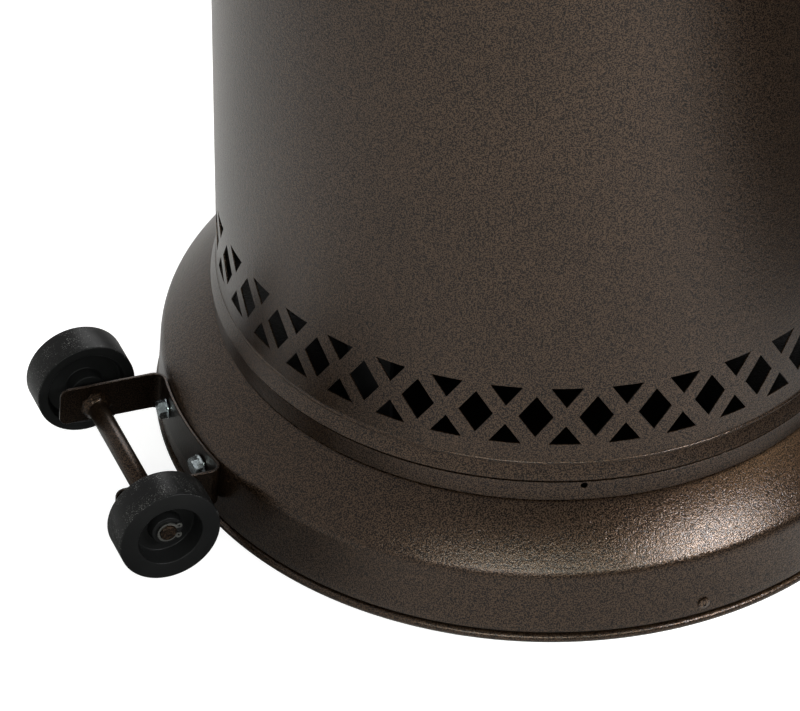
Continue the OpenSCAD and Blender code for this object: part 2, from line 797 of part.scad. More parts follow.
module burner_head() {
    path = [[venturi_r + sheet_t + 0.1, burner_z], [burner_r, burner_z + 6],
        [burner_r, burner_top_z - 6], [burner_r - 6, burner_top_z], [0, burner_top_z]];
    color(STEEL) difference() {
        revolve(path, sheet_t);
        for (i = [0:burner_slots - 1]) rotate([0, 0, i * 360 / burner_slots])
            translate([burner_r - 4, -1.5, burner_z + 10]) cube([8, 3, 14]);
    }
}

module pan_screw_places(z) {
    for (a = [30, 150, 270]) rotate([0, 0, a]) translate([48, 0, z]) children();
}

module burner_pan() {
    path = [[120, pan_z + 26], [114, pan_z + 6], [106, pan_z], [venturi_r + 1.5, pan_z]];
    color(STEEL) difference() {
        revolve(path, -sheet_t);
        translate([-17, -44, pan_z - 1]) cube([34, 14, 4]);
        pan_screw_places(pan_z - 5) cylinder(h = 10, r = 1.8);
    }
}

module emitter_screen() {
    path = [[screen_foot_r, pan_z + sheet_t + 0.1], [screen_top_r, screen_top_z]];
    color(STEEL) revolve(path, housing_t);
}

module emitter_top() {
    path = concat(
        [[screen_top_r + 5, screen_top_z - 12]],
        arc([screen_top_r + 1, screen_top_z - 2.8], 4, 0, 80, 4),
        [[40, screen_top_z + 12], [12, screen_top_z + 13.5], [0, screen_top_z + 13.5]]
    );
    color(STEEL) difference() {
        revolve(path, sheet_t);
        stud_places(screen_top_z) cylinder(h = 30, r = stud_r + bolt_clear);
    }
}

// Reflector
module stud_places(z) {
    for (a = [30, 150, 270]) rotate([0, 0, a]) translate([stud_ring_r, 0, z]) children();
}

module reflector_studs() {
    foot_z = screen_top_z - 1;
    color(ZINC) stud_places(foot_z) cylinder(h = stud_top_z - foot_z, r = stud_r);
}

module reflector_nuts() {
    cap_z = dish_z(stud_ring_r);
    color(ZINC) {
        stud_places(screen_top_z + 10.2) hex_nut(stud_r, m6_af, 5);
        stud_places(screen_top_z + 1.7) hex_nut(stud_r, m6_af, 5);
        stud_places(cap_z - 6) hex_nut(stud_r, m6_af, 5);
        stud_places(cap_z + 2.4) difference() {
            union() {
                cylinder(h = 8, r1 = 7, r2 = 5.5);
                for (s = [-1, 1]) translate([s * 9, 0, 8.5]) rotate([90, 0, 0])
                    cylinder(h = 2.4, r = 5.5, center = true);
            }
            translate([0, 0, -1]) cylinder(h = 18, r = stud_r);
        }
    }
}

module rib(shift) {
    path = arc(dish_c, dish_r, dish_angle(rib_outer_r), dish_angle(rib_inner_r), 12);
    translate([0, shift, 0]) rotate([90, 0, 0]) linear_extrude(rib_t) polygon(strip(path, -rib_h));
}

module seam_bolt_places(angles) {
    for (a = angles, r = seam_bolt_r)
        rotate([0, 0, a]) translate([r, -seam_half - rib_t, dish_z(r) + 5.5]) rotate([90, 0, 0]) children();
}

module cap_bolt_places(angles) {
    for (a = angles) rotate([0, 0, a]) translate([cap_bolt_r, 0, dish_z(cap_bolt_r) + 2.05]) children();
}

module reflector_panel() {
    path = arc(dish_c, dish_r, dish_start, dish_angle(panel_inner_r), 14);
    color(ALUMINIUM) difference() {
        union() {
            rotate([0, 0, panel_gap]) rotate_extrude(angle = 120 - 2 * panel_gap) union() {
                polygon(strip(path, housing_t));
                translate([reflector_r - lip_r, reflector_edge_z + lip_r]) circle(lip_r, $fn = 24);
            }
            rib(rib_t + seam_half);
            rotate([0, 0, 120]) rib(-seam_half);
        }
        seam_bolt_places([0, 120]) translate([0, 0, -8]) cylinder(h = 16, r = 2.1);
        cap_bolt_places([30, 90]) translate([0, 0, -8]) cylinder(h = 16, r = 2.1);
    }
}

module reflector_panel_1() { rotate([0, 0, leg_angles[0]]) reflector_panel(); }

module reflector_panel_2() { rotate([0, 0, leg_angles[1]]) reflector_panel(); }

module reflector_panel_3() { rotate([0, 0, leg_angles[2]]) reflector_panel(); }

module reflector_cap() {
    outer = dish_r + 1.4;
    rise = [for (r = [cap_r:-15:15])
        [r, dish_c[1] + sqrt(outer * outer - (r - dish_c[0]) * (r - dish_c[0]))]];
    path = concat(rise, [[0, rise[len(rise) - 1][1]]]);
    color(ALUMINIUM) difference() {
        revolve(path, sheet_t);
        stud_places(dish_z(stud_ring_r) - 10) cylinder(h = 30, r = stud_r + bolt_clear);
        cap_bolt_places([0:60:300]) translate([0, 0, -8]) cylinder(h = 16, r = 2.1);
    }
}

module reflector_bolts() {
    color(ZINC) {
        seam_bolt_places(leg_angles) hex_bolt(2, 7, 2.8, 8);
        seam_bolt_places(leg_angles) translate([0, 0, -2 * (seam_half + rib_t) - 3.3]) hex_nut(2, 7, 3.2);
        cap_bolt_places([0:60:300]) translate([0, 0, 0.1]) pan_screw(2, 4, 2, 7);
    }
}

// Gas line
module gas_hose() {
    color(RUBBER) translate([0, 0, hose_bottom_z]) tube(hose_r, hose_bore_r, hose_top_z - hose_bottom_z);
}

module hose_fittings() {
    inlet_z = shelf_z + shelf_t - 0.05;
    color(BRASS) {
        translate([0, 0, hose_top_z + 0.1]) cylinder(h = 8, r = 8, $fn = 6);
        translate([0, 0, hose_top_z + 7]) cylinder(h = inlet_z - hose_top_z - 7, r = 6);
        translate([0, 0, hose_top_z - 16]) tube(6, hose_r + 0.05, 16);
        translate([0, 0, hose_bottom_z + 0.1]) tube(6, hose_r + 0.05, 16);
    }
}

module hose_bushing() {
    color(BLACK) difference() {
        translate([0, 0, post_bottom_z - 3]) union() {
            cylinder(h = 3, r = post_r);
            cylinder(h = 14, r = post_r - post_t - 0.1);
        }
        translate([0, 0, post_bottom_z - 4]) cylinder(h = 20, r = hose_r + 0.1);
    }
}

module regulator() {
    color(GREY) translate([0, 0, regulator_z]) {
        rotate([0, 90, 0]) {
            translate([0, 0, -6]) cylinder(h = 12, r = regulator_r);
            translate([0, 0, -12]) cylinder(h = 24, r = regulator_r - 4);
            translate([0, 0, 10]) cylinder(h = 10, r = 12);
        }
        translate([0, 0, 20]) cylinder(h = 14, r = 8);
        translate([0, 0, 30]) cylinder(h = 20, r = hose_bore_r - 0.1);
        translate([0, 0, -45]) cylinder(h = 29, r = 8);
        translate([0, 0, nut_bottom_z + 12 - regulator_z]) cylinder(h = 20, r = 5);
        translate([0, 0, nut_bottom_z + 19 - regulator_z]) cylinder(h = 2.6, r = 12);
    }
}

module regulator_nut() {
    height = nut_top_z - nut_bottom_z;
    color(BLACK) translate([0, 0, nut_bottom_z]) difference() {
        union() {
            cylinder(h = height - 6, r = 19);
            translate([0, 0, height - 6]) cylinder(h = 6, r1 = 19, r2 = 14);
            for (i = [0:11]) rotate([0, 0, i * 30]) translate([18.6, 0, 1]) cylinder(h = height - 9, r = 2);
        }
        translate([0, 0, -1]) cylinder(h = 23, r = 16.7);
        cylinder(h = height + 1, r = 8.05);
    }
}

base_pan();
base_shell();
base_screws();
support_leg_1();
support_leg_2();
support_leg_3();
foot_bolts();
post_bolts();
leg_nuts();
post();
wheel_bracket();
wheel_axle();
bracket_bolts();
bracket_nuts();
wheel_left();
wheel_right();
axle_circlips();
tank_housing();
housing_band();
housing_cover();
cover_screws();
post_grommet();
head_cone();
head_screws();
control_box();
control_panel();
panel_screws();
valve_shelf();
box_screws();
gas_valve();
valve_plunger();
valve_stem();
control_knob();
igniter_body();
igniter_button();
ignition_lead();
electrode();
tilt_switch();
thermocouple();
pilot_tube();
pilot_burner();
burner_jet();
venturi_tube();
burner_head();
burner_pan();
emitter_screen();
emitter_top();
reflector_studs();
reflector_nuts();
reflector_panel_1();
reflector_panel_2();
reflector_panel_3();
reflector_cap();
reflector_bolts();
gas_hose();
hose_bushing();
hose_fittings();
regulator();
regulator_nut();
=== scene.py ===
"""The looks of a free-standing outdoor gas heater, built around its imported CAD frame.

The frame is in metres, +Z up, with its origin on the floor under the post. The wheels lie
towards -X and the control knob faces -Y. Shapes here are worked out in millimetres, as the
CAD part is, and scaled when a piece is made. The camera looks down on the base, the foot of
the tank housing and the wheel set from the front left.
"""
import json
import math

import bmesh
import bpy
from mathutils import Matrix, Vector
from mathutils.geometry import delaunay_2d_cdt


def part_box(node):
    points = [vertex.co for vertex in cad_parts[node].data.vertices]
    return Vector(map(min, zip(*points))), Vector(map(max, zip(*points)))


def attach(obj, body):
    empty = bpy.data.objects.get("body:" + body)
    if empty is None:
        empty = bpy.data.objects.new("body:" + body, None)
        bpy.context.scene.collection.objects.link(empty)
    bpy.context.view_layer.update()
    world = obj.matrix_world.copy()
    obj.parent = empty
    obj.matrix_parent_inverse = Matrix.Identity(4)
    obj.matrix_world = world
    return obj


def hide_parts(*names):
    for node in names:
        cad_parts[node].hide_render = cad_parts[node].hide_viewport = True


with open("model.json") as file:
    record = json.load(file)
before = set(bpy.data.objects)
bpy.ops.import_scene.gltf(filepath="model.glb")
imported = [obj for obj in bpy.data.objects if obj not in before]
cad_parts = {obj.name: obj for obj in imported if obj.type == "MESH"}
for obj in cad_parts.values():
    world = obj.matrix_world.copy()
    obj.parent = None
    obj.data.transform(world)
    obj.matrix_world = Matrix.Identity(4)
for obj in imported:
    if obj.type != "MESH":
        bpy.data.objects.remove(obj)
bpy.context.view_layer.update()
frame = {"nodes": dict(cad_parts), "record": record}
SCENE = bpy.context.scene
NODES = frame["nodes"]
MM = 0.001

# Driving sizes, in millimetres
RIM_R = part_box("base_pan")[1].x / MM
RIM_BEAD_R = 2.8
WALL_R = 226.2
WALL_TOP_Z = 42.0
WALL_FOOT_Z = 7.5
WALL_DRAFT = 4.0
SHOULDER_R = 12.0
DOME_R = 152.0
DOME_ARC = (42.0, 56.0)
DECK_ROUND_R = 12.0
SHEET_T = 1.2
HOUSING_R = 191.7
HOUSING_T = 1.0
HOUSING_TOP_Z = 648.0
SKIRT_R = HOUSING_R + 3.7
SKIRT_Z = 91.0
BEAD_Z = 101.0
BAND_BOTTOM_Z = 75.9
VENT_COUNT = 36
VENT_PHASE = -90 + 4.24
VENT_Z = 75.7
AXLE_X = -265.6
AXLE_Z = 33.1
AXLE_R = 6.0
JOURNAL_R = 5.0
WHEEL_R = 30.3
BRACKET_Z = 32.8
BRACKET_T = 1.8
BRACKET_GAP = 0.15
BRACKET_ARMS = ((1, 46.0), (-1, 52.0))
BEND_R = 7.0
BRACKET_BOLTS_Y = (-28.6, 26.0)
RIM_SCREW_Z = 14
RIM_SCREW_ANGLES = (-90, 30, 150)
LIT_SPOT = (0, -0.21, 0.06)


def wall_r_at(z):
    """The drafted wall's outer radius at a height."""
    return WALL_R + (WALL_TOP_Z - z) * math.tan(math.radians(WALL_DRAFT))


WEB_R = wall_r_at(BRACKET_Z) + BRACKET_GAP


# ---------------------------------------------------------------- camera, lights and floor

def make_camera():
    """A long lens above the base's front left, aimed by heading, pitch and roll."""
    heading, pitch, roll = math.radians(23.69), math.radians(38.714), math.radians(1.021)
    data = bpy.data.cameras.new("camera")
    data.sensor_width = 36
    data.lens = 173.5
    data.clip_start = 0.05
    data.clip_end = 200
    camera = bpy.data.objects.new("camera", data)
    SCENE.collection.objects.link(camera)
    turn = (Matrix.Rotation(-heading, 4, "Z") @ Matrix.Rotation(math.pi / 2 - pitch, 4, "X")
            @ Matrix.Rotation(roll, 4, "Z"))
    camera.matrix_world = Matrix.Translation((-0.8067, -1.6343, 1.481)) @ turn
    SCENE.camera = camera


def area_light(name, place, target, size, power, tint=(1, 1, 1), tall=None):
    data = bpy.data.lights.new(name, "AREA")
    data.shape = "RECTANGLE"
    data.size = size
    data.size_y = tall or size
    data.energy = power
    data.color = tint
    light = bpy.data.objects.new(name, data)
    SCENE.collection.objects.link(light)
    light.location = place
    light.rotation_euler = (Vector(target) - Vector(place)).to_track_quat("-Z", "Y").to_euler()


def make_sky():
    """A soft studio sky, brightest at the heater's back left and dim at its front."""
    world = bpy.data.worlds.new("studio")
    world.use_nodes = True
    tree = world.node_tree
    coords = tree.nodes.new("ShaderNodeTexCoord")
    toward = tree.nodes.new("ShaderNodeVectorMath")
    toward.operation = "DOT_PRODUCT"
    toward.inputs[1].default_value = (-0.78, 0.62, 0)
    tree.links.new(coords.outputs["Generated"], toward.inputs[0])
    ramp = tree.nodes.new("ShaderNodeMapRange")
    for socket, value in (("From Min", -0.3), ("From Max", 0.9), ("To Min", 0.16), ("To Max", 0.80)):
        ramp.inputs[socket].default_value = value
    tree.links.new(toward.outputs["Value"], ramp.inputs["Value"])
    tree.links.new(ramp.outputs[0], tree.nodes["Background"].inputs["Strength"])
    tree.nodes["Background"].inputs["Color"].default_value = (1, 0.99, 0.97, 1)
    SCENE.world = world


def make_stage():
    """A pale floor far wider than the heater. It glows for camera rays so that it looks white, but its
    colour is darkened as a painted shadow under the wheel set and as painted shade towards its right, so
    these reflect little."""
    bpy.ops.mesh.primitive_grid_add(x_subdivisions=8, y_subdivisions=8, size=60)
    floor = bpy.context.object
    floor.name = "floor"
    floor.location.z = -0.0005
    skin = bpy.data.materials.new("floor_paper")
    skin.use_nodes = True
    tree = skin.node_tree
    shader = tree.nodes["Principled BSDF"]
    shader.inputs["Roughness"].default_value = 0.9
    shader.inputs["Specular IOR Level"].default_value = 0.1
    shader.inputs["Emission Color"].default_value = (1, 1, 1, 1)
    split = tree.nodes.new("ShaderNodeSeparateXYZ")
    place = tree.nodes.new("ShaderNodeTexCoord").outputs["Object"]
    tree.links.new(place, split.inputs[0])
    # Distance from the ground under the wheel set, the middle of the painted shadow
    away = tree.nodes.new("ShaderNodeVectorMath")
    away.operation = "DISTANCE"
    away.inputs[1].default_value = (AXLE_X * MM, -0.06, 0)
    tree.links.new(place, away.inputs[0])

    def fade(source, start, end, first, last):
        """A value that turns smoothly into another between two distances."""
        node = tree.nodes.new("ShaderNodeMapRange")
        node.interpolation_type = "SMOOTHSTEP"
        for socket, value in (("From Min", start), ("From Max", end), ("To Min", first), ("To Max", last)):
            node.inputs[socket].default_value = value
        tree.links.new(source, node.inputs["Value"])
        return node.outputs[0]

    def either(operation, pale, under, right):
        """The pale value, or the values under the wheel set and at the floor's right."""
        node = tree.nodes.new("ShaderNodeMath")
        node.operation = operation
        tree.links.new(fade(split.outputs["X"], 0.10, 0.36, pale, right), node.inputs[0])
        tree.links.new(fade(away.outputs["Value"], 0.05, 0.16, under, pale), node.inputs[1])
        return node.outputs[0]

    # Painted shadow under the wheel set and painted shade towards the right, in the floor's colour
    tree.links.new(either("MINIMUM", pale=0.80, under=0.22, right=0.05), shader.inputs["Base Color"])
    # A glow for camera rays only, strongest where the colour is darkest, so that the camera sees the floor
    # evenly white
    glow = tree.nodes.new("ShaderNodeMath")
    glow.operation = "MULTIPLY"
    tree.links.new(either("MAXIMUM", pale=0.70, under=0.90, right=0.95), glow.inputs[0])
    tree.links.new(tree.nodes.new("ShaderNodeLightPath").outputs["Is Camera Ray"], glow.inputs[1])
    tree.links.new(glow.outputs[0], shader.inputs["Emission Strength"])
    floor.data.materials.append(skin)


def on_sky(azimuth, elevation, distance):
    """The place at a distance from the base's front shoulder in a compass direction, in degrees."""
    a, e = math.radians(azimuth), math.radians(elevation)
    return (LIT_SPOT[0] + distance * math.cos(e) * math.cos(a),
            LIT_SPOT[1] + distance * math.cos(e) * math.sin(a), LIT_SPOT[2] + distance * math.sin(e))


def make_lights():
    """A small softbox and a long strip for the shoulder's highlight, and three soft fills."""
    area_light("softbox", on_sky(-58, 37, 2.4), LIT_SPOT, size=0.85, power=52, tint=(0.97, 0.98, 1),
               tall=0.22)
    area_light("strip", on_sky(-112, 37, 2.4), LIT_SPOT, size=2.2, power=21, tint=(0.92, 1, 0.90), tall=0.2)
    area_light("warm_side", on_sky(-16, 48, 2.4), LIT_SPOT, size=0.7, power=5, tint=(1, 0.72, 0.42))
    area_light("back_fill", on_sky(60, 35, 3.5), (0, 0, 1), size=2, power=50)
    area_light("head_fill", (-1.5, -2.2, 1.5), (0, 0, 1.9), size=1.2, power=20)


# ---------------------------------------------------------------- materials

class Look:
    """A node material with a short way to add and link nodes."""

    def __init__(self, name, color, metallic=0.0, roughness=0.5, **sockets):
        self.material = bpy.data.materials.new(name)
        self.material.use_nodes = True
        self.tree = self.material.node_tree
        self.shader = self.tree.nodes["Principled BSDF"]
        self.set("Base Color", (*color, 1))
        self.set("Metallic", metallic)
        self.set("Roughness", roughness)
        for socket, value in sockets.items():
            self.set(socket.replace("_", " "), value)
        self.coords = self.tree.nodes.new("ShaderNodeTexCoord").outputs["Object"]

    def set(self, socket, value):
        self.shader.inputs[socket].default_value = value

    def link(self, out, socket):
        self.tree.links.new(out, self.shader.inputs[socket])

    def add(self, kind, **inputs):
        """A shader node of that kind. Inputs go by name, or by number as i0, i1 and so on."""
        node = self.tree.nodes.new("ShaderNode" + kind)
        for key, value in inputs.items():
            by_number = key[0] == "i" and key[1:].isdigit()
            socket = node.inputs[int(key[1:]) if by_number else key.replace("_", " ")]
            if hasattr(value, "is_output"):
                self.tree.links.new(value, socket)
            else:
                socket.default_value = value
        return node

    def stretched(self, stretch):
        return self.add("Mapping", Vector=self.coords, Scale=stretch).outputs[0]

    def noise(self, scale, detail=2.0, roughness=0.5, stretch=None):
        vector = self.stretched(stretch) if stretch else self.coords
        return self.add("TexNoise", Vector=vector, Scale=scale, Detail=detail,
                        Roughness=roughness).outputs["Fac"]

    def radius(self, first, second, centre_first=0.0, centre_second=0.0):
        """The distance from a line, from two coordinates. The line's place is in millimetres."""
        split = self.add("SeparateXYZ", Vector=self.coords)
        a = self.math("SUBTRACT", split.outputs[first], centre_first * MM)
        b = self.math("SUBTRACT", split.outputs[second], centre_second * MM)
        square = self.math("ADD", self.math("MULTIPLY", a, a), self.math("MULTIPLY", b, b))
        return self.math("SQRT", square)

    def math(self, operation, a, b=0.0):
        node = self.add("Math", i0=a, i1=b)
        node.operation = operation
        return node.outputs[0]

    def ramp(self, fac, *stops):
        node = self.add("ValToRGB", Fac=fac)
        line = node.color_ramp
        while len(line.elements) < len(stops):
            line.elements.new(0.5)
        for element, (place, color) in zip(line.elements, stops):
            element.position = place
            element.color = (*color, 1)
        return node.outputs["Color"]

    def spread(self, fac, low, high, start=0.3, end=0.7):
        return self.add("MapRange", Value=fac, From_Min=start, From_Max=end,
                        To_Min=low, To_Max=high).outputs[0]

    def shaded(self, color, value):
        """A colour times a number."""
        triple = self.add("CombineXYZ", X=value, Y=value, Z=value).outputs[0]
        node = self.add("VectorMath", i0=color, i1=triple)
        node.operation = "MULTIPLY"
        return node.outputs[0]

    def bump(self, height, distance, strength):
        return self.add("Bump", Height=height, Distance=distance, Strength=strength).outputs["Normal"]


def hammered_look(name, shade=1.0, relief=1.0, gloss=0.36, inner_r=0):
    """Hammered powder coat: brown metallic pebbles with dark valleys under a clear gloss. Faces inside
    inner_r get a painted shade.
    """
    look = Look(name, (0.03, 0.02, 0.014), metallic=0.75, roughness=0.3,
                Specular_IOR_Level=0.2, Coat_Weight=gloss, Coat_Roughness=0.13)
    pebbles = look.noise(1400, detail=1.5, roughness=0.55)
    swell = look.noise(460, detail=1.0, roughness=0.5)
    drift = look.noise(6, detail=2.0)
    height = look.math("ADD", pebbles, look.math("MULTIPLY", swell, 0.8))
    tint = look.ramp(pebbles, (0.445, (0.0056, 0.0031, 0.0017)), (0.50, (0.0255, 0.0146, 0.0082)),
                     (0.56, (0.0640, 0.0388, 0.0232)))
    # A shade under 1 paints shade, and over 1 paints light, on a copy of this one paint
    tone = look.spread(drift, 0.92 * shade, 1.08 * shade)
    if inner_r:
        # Painted shade: faces inside this radius get a dark colour and only a thin coat
        face = look.spread(look.radius("X", "Y"), 0.06, 1.0, inner_r * MM, (inner_r + 0.3) * MM)
        tone = look.math("MULTIPLY", tone, face)
        look.link(look.math("MULTIPLY", face, gloss), "Coat Weight")
    look.link(look.shaded(tint, tone), "Base Color")
    look.link(look.spread(pebbles, 0.278, 0.31), "Roughness")
    bump = look.bump(height, 0.00019 * relief, 0.85)
    look.link(bump, "Normal")
    look.link(bump, "Coat Normal")
    return look.material


def leg_look():
    """Plain black satin paint."""
    look = Look("leg_black", (0.012, 0.012, 0.013), roughness=0.5, Specular_IOR_Level=0.12)
    skin = look.noise(700, detail=2)
    look.link(look.ramp(look.noise(14), (0.3, (0.0050, 0.0050, 0.0054)), (0.7, (0.0105, 0.0105, 0.0110))),
              "Base Color")
    look.link(look.spread(skin, 0.42, 0.6), "Roughness")
    look.link(look.bump(skin, 0.00008, 0.6), "Normal")
    return look.material


def metal_look(name, dark, light, roughness=0.3, grain=(1, 1, 1), scale=260, depth=0.00003):
    """Bare or plated metal: drifting tone, fine grain along one way, and small bumps."""
    look = Look(name, light, metallic=1.0, roughness=roughness)
    drift = look.noise(22, detail=3)
    brushed = look.noise(scale, detail=3, roughness=0.6, stretch=grain)
    look.link(look.ramp(drift, (0.3, dark), (0.7, light)), "Base Color")
    look.link(look.spread(brushed, roughness * 0.75, roughness * 1.35), "Roughness")
    look.link(look.bump(brushed, depth, 0.7), "Normal")
    return look.material


def wheel_look():
    """Charcoal moulded plastic: satin sides, and a tread scuffed with pale dust."""
    look = Look("wheel_plastic", (0.006, 0.006, 0.006), roughness=0.40, Specular_IOR_Level=0.09)
    tread = look.spread(look.radius("X", "Z", AXLE_X, AXLE_Z), 0.0, 1.0,
                        (WHEEL_R - 1.0) * MM, (WHEEL_R - 0.3) * MM)
    specks = look.spread(look.noise(1300, detail=2, roughness=0.7), 0.0, 1.0, 0.60, 0.68)
    patches = look.spread(look.noise(95, detail=3, roughness=0.65), 0.0, 1.0, 0.42, 0.60)
    dust = look.math("MULTIPLY", look.math("MULTIPLY", specks, patches), tread)
    clean = look.ramp(look.noise(30), (0.3, (0.0046, 0.0047, 0.0048)), (0.7, (0.0074, 0.0075, 0.0075)))
    mixed = look.add("Mix", i0=look.math("MULTIPLY", dust, 0.9), i6=clean, i7=(0.22, 0.22, 0.21, 1))
    mixed.data_type = "RGBA"
    look.link(mixed.outputs[2], "Base Color")
    grain = look.noise(1100, detail=2)
    look.link(look.spread(grain, 0.30, 0.42), "Roughness")
    look.link(look.bump(look.math("ADD", grain, look.math("MULTIPLY", dust, 0.6)), 0.00006, 0.7), "Normal")
    return look.material


def plastic_look(name, dark, light, roughness=0.4, scale=500, depth=0.00005, **sockets):
    """Moulded plastic, rubber or paint: a faint drift of tone and a fine grain."""
    look = Look(name, light, roughness=roughness, **sockets)
    grain = look.noise(scale, detail=2)
    look.link(look.ramp(look.noise(18), (0.3, dark), (0.7, light)), "Base Color")
    look.link(look.spread(grain, roughness * 0.85, roughness * 1.2), "Roughness")
    look.link(look.bump(grain, depth, 0.6), "Normal")
    return look.material


def make_looks():
    """Every look by name. The record's material slots are among them."""
    return {
        "hammered_bronze": hammered_look("hammered_bronze"),
        # Painted shade on the inside of the housing
        "housing_bronze_inside_painted_shade": hammered_look("housing_bronze_inside_painted_shade", inner_r=HOUSING_R - HOUSING_T + 0.1),
        # A darker copy of the paint: painted shade on the axle
        "axle_bronze_painted_shade": hammered_look("axle_bronze_painted_shade", shade=0.75, relief=0.6, gloss=0.12),
        # Painted shade on the deck under the housing
        "base_bronze_deck_painted_shade": hammered_look("base_bronze_deck_painted_shade", inner_r=HOUSING_R - 5.0),
        # A lighter copy of the paint: painted light on the rim screws
        "screw_bronze_painted_light": hammered_look("screw_bronze_painted_light", shade=1.7, relief=0.2, gloss=0.5),
        # A darker copy of the paint: painted shade on the bracket
        "bracket_bronze_painted_shade": hammered_look("bracket_bronze_painted_shade", shade=0.40, relief=0.35, gloss=0.06),
        "leg_black": leg_look(),
        "zinc": metal_look("zinc", (0.36, 0.42, 0.44), (0.56, 0.62, 0.64), 0.24, scale=420),
        "spring_steel": metal_look("spring_steel", (0.15, 0.15, 0.14), (0.25, 0.25, 0.235), 0.3),
        "stainless": metal_look("stainless", (0.50, 0.49, 0.47), (0.62, 0.61, 0.59), 0.30,
                                grain=(1, 1, 14), scale=60),
        "reflector_aluminium": metal_look("reflector_aluminium", (0.76, 0.77, 0.78),
                                          (0.86, 0.87, 0.88), 0.28, scale=180),
        "brass": metal_look("brass", (0.52, 0.36, 0.13), (0.68, 0.49, 0.20), 0.28),
        "pilot_aluminium": metal_look("pilot_aluminium", (0.70, 0.71, 0.72), (0.82, 0.83, 0.84), 0.32),
        "wheel_plastic": wheel_look(),
        "knob_plastic": plastic_look("knob_plastic", (0.010, 0.010, 0.011), (0.020, 0.020, 0.021), 0.38),
        "button_plastic": plastic_look("button_plastic", (0.33, 0.02, 0.012), (0.48, 0.035, 0.02), 0.32),
        "lead_silicone": plastic_look("lead_silicone", (0.40, 0.04, 0.025), (0.52, 0.06, 0.04), 0.5),
        "electrode_ceramic": plastic_look("electrode_ceramic", (0.72, 0.69, 0.62), (0.84, 0.82, 0.77),
                                          0.22),
        "switch_plastic": plastic_look("switch_plastic", (0.10, 0.10, 0.11), (0.17, 0.17, 0.18), 0.42),
        "hose_rubber": plastic_look("hose_rubber", (0.011, 0.011, 0.011), (0.022, 0.022, 0.022), 0.6,
                                    scale=900),
        "regulator_paint": plastic_look("regulator_paint", (0.26, 0.27, 0.28), (0.36, 0.37, 0.38), 0.45,
                                        Metallic=0.4),
    }


LOOKS = make_looks()


# ---------------------------------------------------------------- mesh tools, in millimetres

def arc(centre, radius, start, end, steps=8):
    """Points on an arc from one angle to another, in degrees."""
    angles = [math.radians(start + (end - start) * i / steps) for i in range(steps + 1)]
    return [(centre[0] + radius * math.cos(a), centre[1] + radius * math.sin(a)) for a in angles]


def strip(path, thickness):
    """A closed outline: the path, and back along it at a distance to its left."""
    points = [Vector(p) for p in path]
    ways = [(b - a).normalized() for a, b in zip(points, points[1:])]
    lefts = [Vector((-way.y, way.x)) for way in ways]
    back = []
    for i, point in enumerate(points):
        a, b = lefts[max(i - 1, 0)], lefts[min(i, len(lefts) - 1)]
        back.append(point + (a + b) * (thickness / (1 + a.dot(b))))
    return [tuple(p) for p in points] + [tuple(p) for p in reversed(back)]


def rounded(outline, radius, steps=3, least=25):
    """The outline with every corner that turns more than least degrees rounded off."""
    out = []
    for i, point in enumerate(outline):
        corner = Vector(point)
        back = Vector(outline[i - 1]) - corner
        ahead = Vector(outline[(i + 1) % len(outline)]) - corner
        if math.degrees(math.pi - back.angle(ahead)) < least:
            out.append(tuple(point))
            continue
        cut = min(radius, back.length * 0.45, ahead.length * 0.45)
        first = corner + back.normalized() * cut
        last = corner + ahead.normalized() * cut
        for k in range(steps + 1):
            t = k / steps
            out.append(tuple(first * (1 - t) ** 2 + corner * 2 * t * (1 - t) + last * t * t))
    return out


def bridge(bm, rings):
    """Joins equal rings of vertices, one after the other, with bands of faces."""
    for low, high in zip(rings, rings[1:]):
        for i in range(len(low)):
            j = (i + 1) % len(low)
            bm.faces.new([low[i], low[j], high[j], high[i]])


def lathe(bm, profile, steps=192, closed=True, place=Matrix()):
    """Adds a surface of revolution about Z from (radius, height) points."""
    rings = []
    for radius, height in profile:
        if abs(radius) < 1e-6:
            rings.append([bm.verts.new(place @ Vector((0, 0, height)))] * steps)
            continue
        ring = []
        for i in range(steps):
            angle = 2 * math.pi * i / steps
            ring.append(bm.verts.new(place @ Vector((radius * math.cos(angle),
                                                     radius * math.sin(angle), height))))
        rings.append(ring)
    pairs = list(zip(rings, rings[1:]))
    if closed:
        pairs.append((rings[-1], rings[0]))
    for low, high in pairs:
        for i in range(steps):
            j = (i + 1) % steps
            corners = []
            for vert in (low[i], low[j], high[j], high[i]):
                if vert not in corners:
                    corners.append(vert)
            if len(corners) > 2:
                bm.faces.new(corners)


def piece(name, bm, look, body, nodes=(), sharp=38, solid=True):
    """Makes an object from a bmesh in millimetres, ties it to its CAD body and hides the CAD nodes it
    replaces.
    """
    bm.transform(Matrix.Scale(MM, 4))
    if solid:
        bmesh.ops.recalc_face_normals(bm, faces=bm.faces)
    for face in bm.faces:
        face.smooth = True
    for edge in bm.edges:
        if len(edge.link_faces) == 2 and edge.calc_face_angle(0) > math.radians(sharp):
            edge.smooth = False
    mesh = bpy.data.meshes.new(name)
    bm.to_mesh(mesh)
    bm.free()
    mesh.materials.append(LOOKS[look])
    obj = bpy.data.objects.new(name, mesh)
    SCENE.collection.objects.link(obj)
    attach(obj, body)
    if nodes:
        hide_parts(*nodes)
    return obj


def along_y(side, x=0.0, z=0.0):
    """A place that turns a lathe's axis along +Y for side 1 or -Y for side -1."""
    return Matrix.Translation((x, 0, z)) @ Matrix.Rotation(-side * math.pi / 2, 4, "X")


# ---------------------------------------------------------------- base

